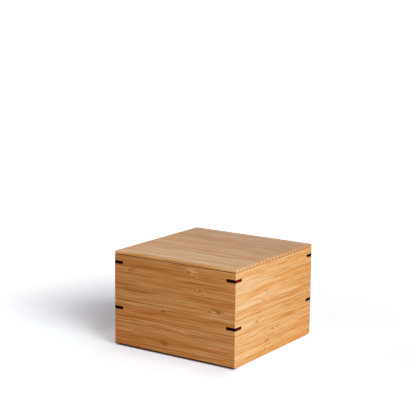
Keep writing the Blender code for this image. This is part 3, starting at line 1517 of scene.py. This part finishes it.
# The lower front walls: the same painted shade, a wide painted highlight on their eased edges, the rim's
# above all, and the painted shade of the gap under their foot.
LOWER_FRONT_LOOK = replace(
    FRONT_LOOK,
    tint=(0.975, 0.80, 0.68),
    shade=(-0.0006, 0.0, 0.0),
    wear=0.5,
    wear_width=0.95,
    foot=PAINTED_FOOT_SHADE,
)
# Painted light: the right walls face the lamps, so they get a paler, bluer tint for the varnish's sheen,
# a painted gradient paler towards the front and a painted highlight on their eased edges; a pale band at
# the foot, and a band of painted shade at the rim by the gap above it.
RIGHT_LOOK = Look(
    tint=(0.98, 1.045, 1.15),
    contrast=0.66,
    length=0.7,
    drift=(0.0, 0.0028, 0.0),
    shade=(0.0, 0.0004, 0.0),
    lines=0.4,
    wear=0.5,
    wear_width=0.9,
    worn=(0.95, 0.64, 0.36),
    foot=Band(1.9, (0.72, 0.48, 0.26), 0.22, 0.5),
    rim=Band(0.75, share=0.7),
)
# The lower right walls: a darker tint, and a band of painted shade on their downward-facing foot.
LOWER_RIGHT_LOOK = replace(
    RIGHT_LOOK,
    tint=(0.93, 0.955, 0.96),
    drift=(0.0, 0.0024, 0.0),
    shade=(0.0, 0.0002, 0.0),
    foot=Band(2.4),
)
# The back and left walls, out of sight, get tints between the front's painted shade and the right's
# painted light.
BACK_LOOK = Look((1.0, 0.92, 0.80))
LEFT_LOOK = Look((1.0, 0.88, 0.70))

UPPER_WALLS = {
    Side.FRONT: WallCut(
        138.03,
        FRONT_LOOK,
        (
            Knuckle(18.2, 33.9),
            Knuckle(21.4, 31.4, 0.8, 5.0, 2.0, fleck=0.5),
            Knuckle(25.1, 18.3, pale=0.95, fleck=0.4),
            *knots(
                BROWN,
                (28.6, 17.0, 0.7, 3.6, 1.6, 0.0),
                (-41.8, 27.6, 0.85, 8.0, 3.2, 0.1),
                (-38.0, 10.2, 0.4, 34.0, 2.8, 0.0),
            ),
            Knuckle(40.5, 3.2, 0.8, fleck=0.2),
            *knots(BROWN, (43.4, 5.2, 1.0, 12.0, 2.7, 0.0), (36.2, 4.0, 0.6, 3.4, 2.0, 0.0)),
        ),
        rim_drop=0.0003,
    ),
    Side.RIGHT: WallCut(
        131.39,
        RIGHT_LOOK,
        (
            Knuckle(-15.3, 9.2, 0.5, brown=TOASTED),
            *knots(TOASTED, (-18.5, 8.2, 0.9, 5.0, 2.4, 0.2), (-14.0, 15.6, 0.8, 7.0, 2.0, 0.0)),
        ),
        rim_drop=-0.0001,
    ),
    Side.BACK: WallCut(9.0, BACK_LOOK, (Knuckle(-22.0, 12.5), Knuckle(31.0, 27.5)), 0.0002),
    Side.LEFT: WallCut(10.0, LEFT_LOOK, (Knuckle(12.0, 22.5), Knuckle(-35.0, 7.5)), 0.0002),
}

LOWER_WALLS = {
    Side.FRONT: WallCut(
        50.14,
        LOWER_FRONT_LOOK,
        (
            Knuckle(-9.8, 35.3, pale=0.4),
            *knots(BROWN, (-11.0, 35.2, 0.7, 4.6, 1.9, 0.0)),
            *knots(BLOND, (9.6, 21.7, 0.45, 17.0, 3.4, 0.0), (-33.0, 36.9, 0.4, 42.0, 2.8, 0.0)),
            Knuckle(-9.1, 8.9, pale=0.2, knot=0.5),
            *knots(BROWN, (-8.2, 9.2, 0.6, 6.5, 3.4, 0.0)),
        ),
    ),
    Side.RIGHT: WallCut(
        60.73,
        LOWER_RIGHT_LOOK,
        (
            Knuckle(-22.0, 31.2, 0.6, brown=TOASTED),
            *knots(
                TOASTED,
                (-28.0, 31.0, 0.8, 4.4, 3.4, 0.0),
                (-3.0, 19.0, 0.9, 6.0, 2.6, 0.3),
                (5.0, 20.2, 0.7, 7.4, 3.2, 0.3),
                (-3.2, 15.0, 1.0, 6.4, 2.8, 0.3),
                (-10.4, 11.4, 1.1, 7.0, 3.2, 0.3),
                (-8.6, 14.6, 0.7, 5.0, 2.4, 0.0),
                (-15.0, 4.6, 0.9, 5.0, 2.4, 0.3),
                (-3.6, 4.6, 0.7, 5.0, 2.4, 0.3),
            ),
            Knuckle(-11.6, 3.0, 0.8, 3.6, 2.0, fleck=0.0),
        ),
    ),
    # Its foot gets the painted shade of the gap under it.
    Side.BACK: WallCut(3.0, replace(BACK_LOOK, foot=PAINTED_FOOT_SHADE), (Knuckle(8.0, 17.5), Knuckle(-40.0, 32.5))),
    Side.LEFT: WallCut(4.0, LEFT_LOOK, (Knuckle(-12.0, 27.5), Knuckle(38.0, 12.5))),
}


def main() -> None:
    """Builds the studio, the tiers and the lid."""
    logging.basicConfig(level=logging.INFO, format="%(name)s: %(message)s")
    Studio().build()
    shop = FinishShop()
    walls = wall_tree()
    keys = key_tree()
    Tier(
        TierName.LOWER,
        shop,
        walls,
        keys,
        LOWER_WALLS,
        foot_round=0.0010,
        foot_reach=0.0002,
        key_wood=KeyWoodFinish(heart=(0.055, 0.0006, 0.005)),
    ).build()
    Tier(TierName.UPPER, shop, walls, keys, UPPER_WALLS).build()
    Lid(shop, 169.9).build()


if __name__ == "__main__":
    main()
